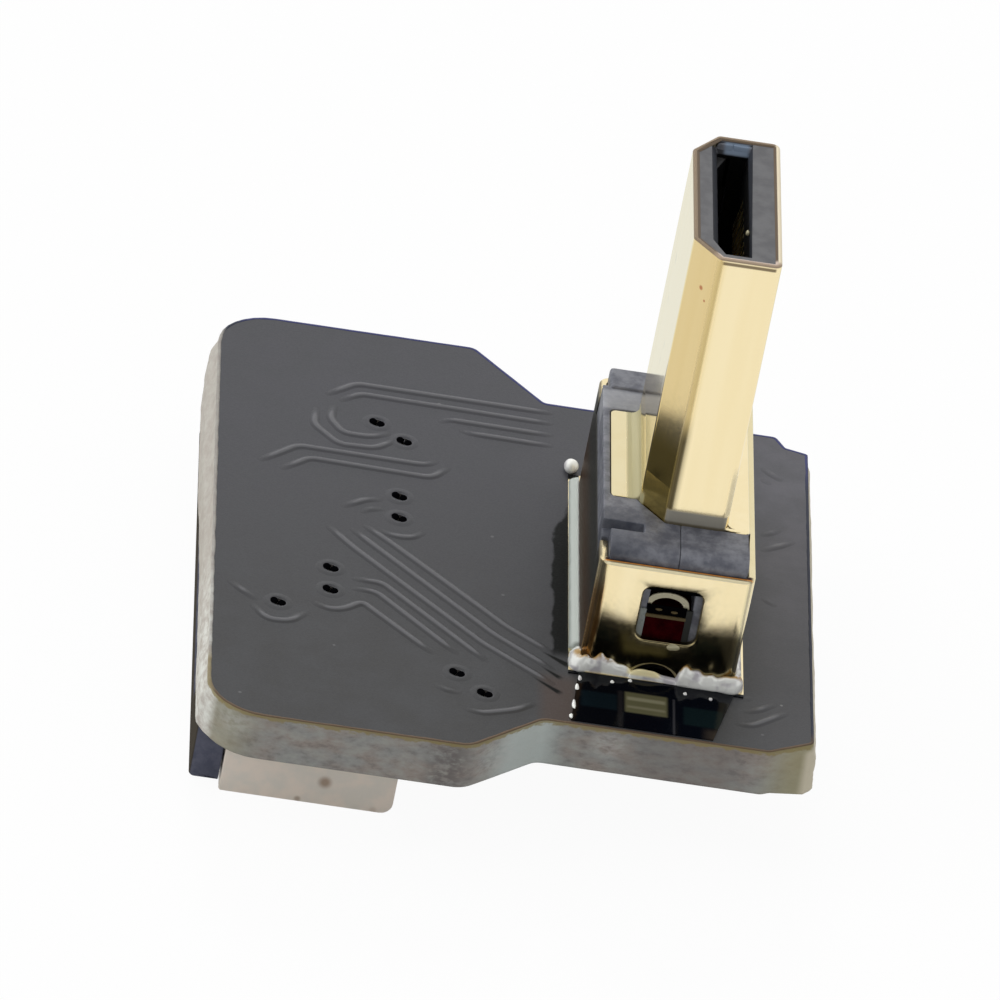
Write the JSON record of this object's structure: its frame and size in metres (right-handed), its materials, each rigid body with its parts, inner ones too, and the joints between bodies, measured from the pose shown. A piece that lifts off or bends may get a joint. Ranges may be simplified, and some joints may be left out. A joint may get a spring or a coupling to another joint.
{
  "type": "micro hdmi plug",
  "caption": "Upright micro-size video plug in a folded metal base on a small stepped board, with a sliding-lock flat-cable connector underneath.",
  "frame": {"origin": "on the plug's axis, in the plane of the board's underside", "axes": "+Z along the plug, out of its mouth; +X from the cable end to the plug end; +Y across the board, from the front edge seen in the picture to the back"},
  "size_m": [0.0153, 0.0184, 0.0146],
  "materials": {
    "solder_mask_board": "satin dark grey solder mask over glass laminate",
    "mask_over_tracks": "satin dark grey solder mask over copper",
    "plated_pads": "bright gold plating",
    "gold_shell": "polished gold plating on folded sheet",
    "black_moulding": "dark blue-grey moulding",
    "red_spacer": "dark red moulding",
    "solder": "bright solder",
    "ivory_housing": "ivory moulding, satin",
    "dark_slider": "blue-black moulding, satin",
    "tinned_tabs": "tin plated",
    "gold_contacts": "gold plated strip",
    "tinned_contacts": "plated strip"
  },
  "bodies": {
    "board": {"circuit_board": "solder_mask_board", "board_tracks": "mask_over_tracks", "ground_pad": "plated_pads", "plug_pads": "plated_pads", "ribbon_pads": "plated_pads", "plug_shell": "gold_shell", "base_shell": "gold_shell", "insulator_left": "black_moulding", "insulator_right": "black_moulding", "tail_spacer": "red_spacer", "solder_front_left": "solder", "solder_front_right": "solder", "solder_left": "solder", "solder_right": "solder", "solder_back": "solder", "ribbon_housing": "ivory_housing", "hold_down_front": "tinned_tabs", "hold_down_back": "tinned_tabs", "plug_contact_01": "gold_contacts", "plug_contact_02": "gold_contacts", "plug_contact_03": "gold_contacts", "plug_contact_04": "gold_contacts", "plug_contact_05": "gold_contacts", "plug_contact_06": "gold_contacts", "plug_contact_07": "gold_contacts", "plug_contact_08": "gold_contacts", "plug_contact_09": "gold_contacts", "plug_contact_10": "gold_contacts", "plug_contact_11": "gold_contacts", "plug_contact_12": "gold_contacts", "plug_contact_13": "gold_contacts", "plug_contact_14": "gold_contacts", "plug_contact_15": "gold_contacts", "plug_contact_16": "gold_contacts", "plug_contact_17": "gold_contacts", "plug_contact_18": "gold_contacts", "plug_contact_19": "gold_contacts", "ribbon_contact_01": "tinned_contacts", "ribbon_contact_02": "tinned_contacts", "ribbon_contact_03": "tinned_contacts", "ribbon_contact_04": "tinned_contacts", "ribbon_contact_05": "tinned_contacts", "ribbon_contact_06": "tinned_contacts", "ribbon_contact_07": "tinned_contacts", "ribbon_contact_08": "tinned_contacts", "ribbon_contact_09": "tinned_contacts", "ribbon_contact_10": "tinned_contacts", "ribbon_contact_11": "tinned_contacts", "ribbon_contact_12": "tinned_contacts", "ribbon_contact_13": "tinned_contacts", "ribbon_contact_14": "tinned_contacts", "ribbon_contact_15": "tinned_contacts", "ribbon_contact_16": "tinned_contacts", "ribbon_contact_17": "tinned_contacts", "ribbon_contact_18": "tinned_contacts", "ribbon_contact_19": "tinned_contacts", "ribbon_contact_20": "tinned_contacts"},
    "slider": {"ribbon_slider": "dark_slider"}
  },
  "joints": [
    {"name": "slider_lock", "type": "slide", "parent": "board", "child": "slider", "axis": [-1, 0, 0], "range_m": [0, 0.001]}
  ]
}
